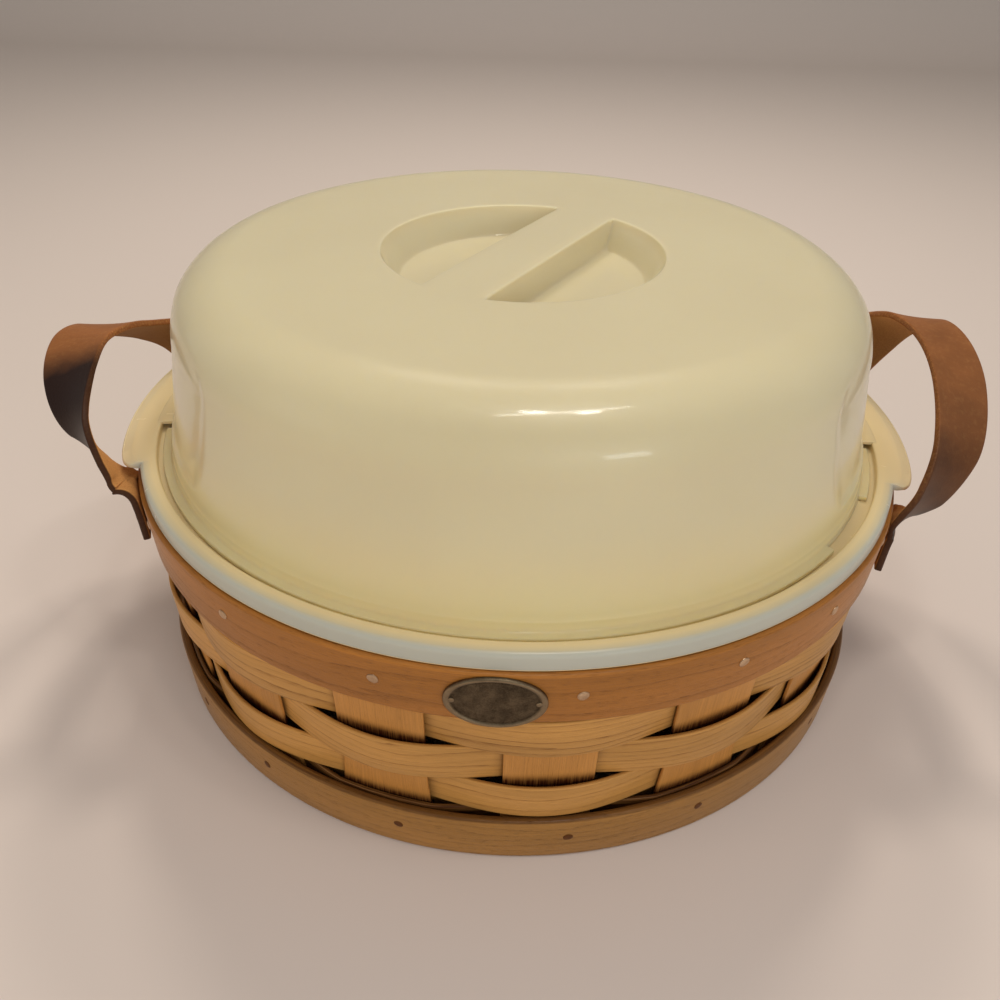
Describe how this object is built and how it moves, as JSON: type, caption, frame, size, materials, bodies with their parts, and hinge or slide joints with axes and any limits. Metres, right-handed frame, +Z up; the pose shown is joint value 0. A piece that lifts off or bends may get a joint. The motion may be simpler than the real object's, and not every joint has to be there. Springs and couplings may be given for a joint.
{
  "type": "picnic basket",
  "caption": "Round basket of woven wood splints with leather loop handles, carrying a rimmed plastic cake tray under a domed lid with a sunken grip.",
  "frame": {"origin": "on the basket's axis, at the height of the surface that it stands on", "axes": "+Z up; front (the badge's side) towards -Y; the right handle, seen from the front, towards +X"},
  "size_m": [0.4051, 0.3354, 0.184],
  "materials": {
    "ash_splint": "thin lacquer, satin",
    "ash_band": "thin lacquer, satin",
    "saddle_leather": "smooth outside, rough flesh side inside",
    "copper_nail": "dull",
    "dark_rivet": "aged",
    "aged_bronze": "aged",
    "cream_plastic": "satin gloss",
    "milky_plastic": "glossy, slightly translucent"
  },
  "bodies": {
    "basket": {"outer_top_band": "ash_band", "inner_top_band": "ash_band", "outer_bottom_hoop": "ash_band", "inner_bottom_hoop": "ash_band", "weaver_1": "ash_splint", "weaver_2": "ash_splint", "weaver_3": "ash_splint", "weaver_4": "ash_splint", "splint_1": "ash_splint", "splint_2": "ash_splint", "splint_3": "ash_splint", "splint_4": "ash_splint", "splint_5": "ash_splint", "splint_6": "ash_splint", "splint_7": "ash_splint", "splint_8": "ash_splint", "top_nail_1": "copper_nail", "top_nail_2": "copper_nail", "top_nail_3": "copper_nail", "top_nail_4": "copper_nail", "top_nail_5": "copper_nail", "top_nail_6": "copper_nail", "top_nail_7": "copper_nail", "top_nail_8": "copper_nail", "top_nail_9": "copper_nail", "top_nail_10": "copper_nail", "top_nail_11": "copper_nail", "top_nail_12": "copper_nail", "top_nail_13": "copper_nail", "top_nail_14": "copper_nail", "top_nail_15": "copper_nail", "top_nail_16": "copper_nail", "left_handle_front_tail": "saddle_leather", "left_handle_back_tail": "saddle_leather", "right_handle_front_tail": "saddle_leather", "right_handle_back_tail": "saddle_leather", "left_front_rivet": "dark_rivet", "left_back_rivet": "dark_rivet", "right_front_rivet": "dark_rivet", "right_back_rivet": "dark_rivet", "front_badge": "aged_bronze", "badge_left_pin": "aged_bronze", "badge_right_pin": "aged_bronze"},
    "left_handle": {"left_handle_loop": "saddle_leather"},
    "right_handle": {"right_handle_loop": "saddle_leather"},
    "tray": {"cake_tray": "cream_plastic"},
    "lid": {"domed_lid": "milky_plastic"}
  },
  "joints": [
    {"name": "tray_lift", "type": "slide", "parent": "basket", "child": "tray", "axis": [0, 0, 1], "range_m": [0, 0.12]},
    {"name": "lid_lift", "type": "slide", "parent": "tray", "child": "lid", "axis": [0, 0, 1], "range_m": [0, 0.12]},
    {"name": "right_handle_swing", "type": "hinge", "parent": "basket", "child": "right_handle", "pos_m": [0.1626, 0, 0.0964], "axis": [0, 1, 0], "range_deg": [-8, 18]},
    {"name": "left_handle_swing", "type": "hinge", "parent": "basket", "child": "left_handle", "pos_m": [-0.1632, 0, 0.1008], "axis": [0, -1, 0], "range_deg": [-8, 18]}
  ]
}
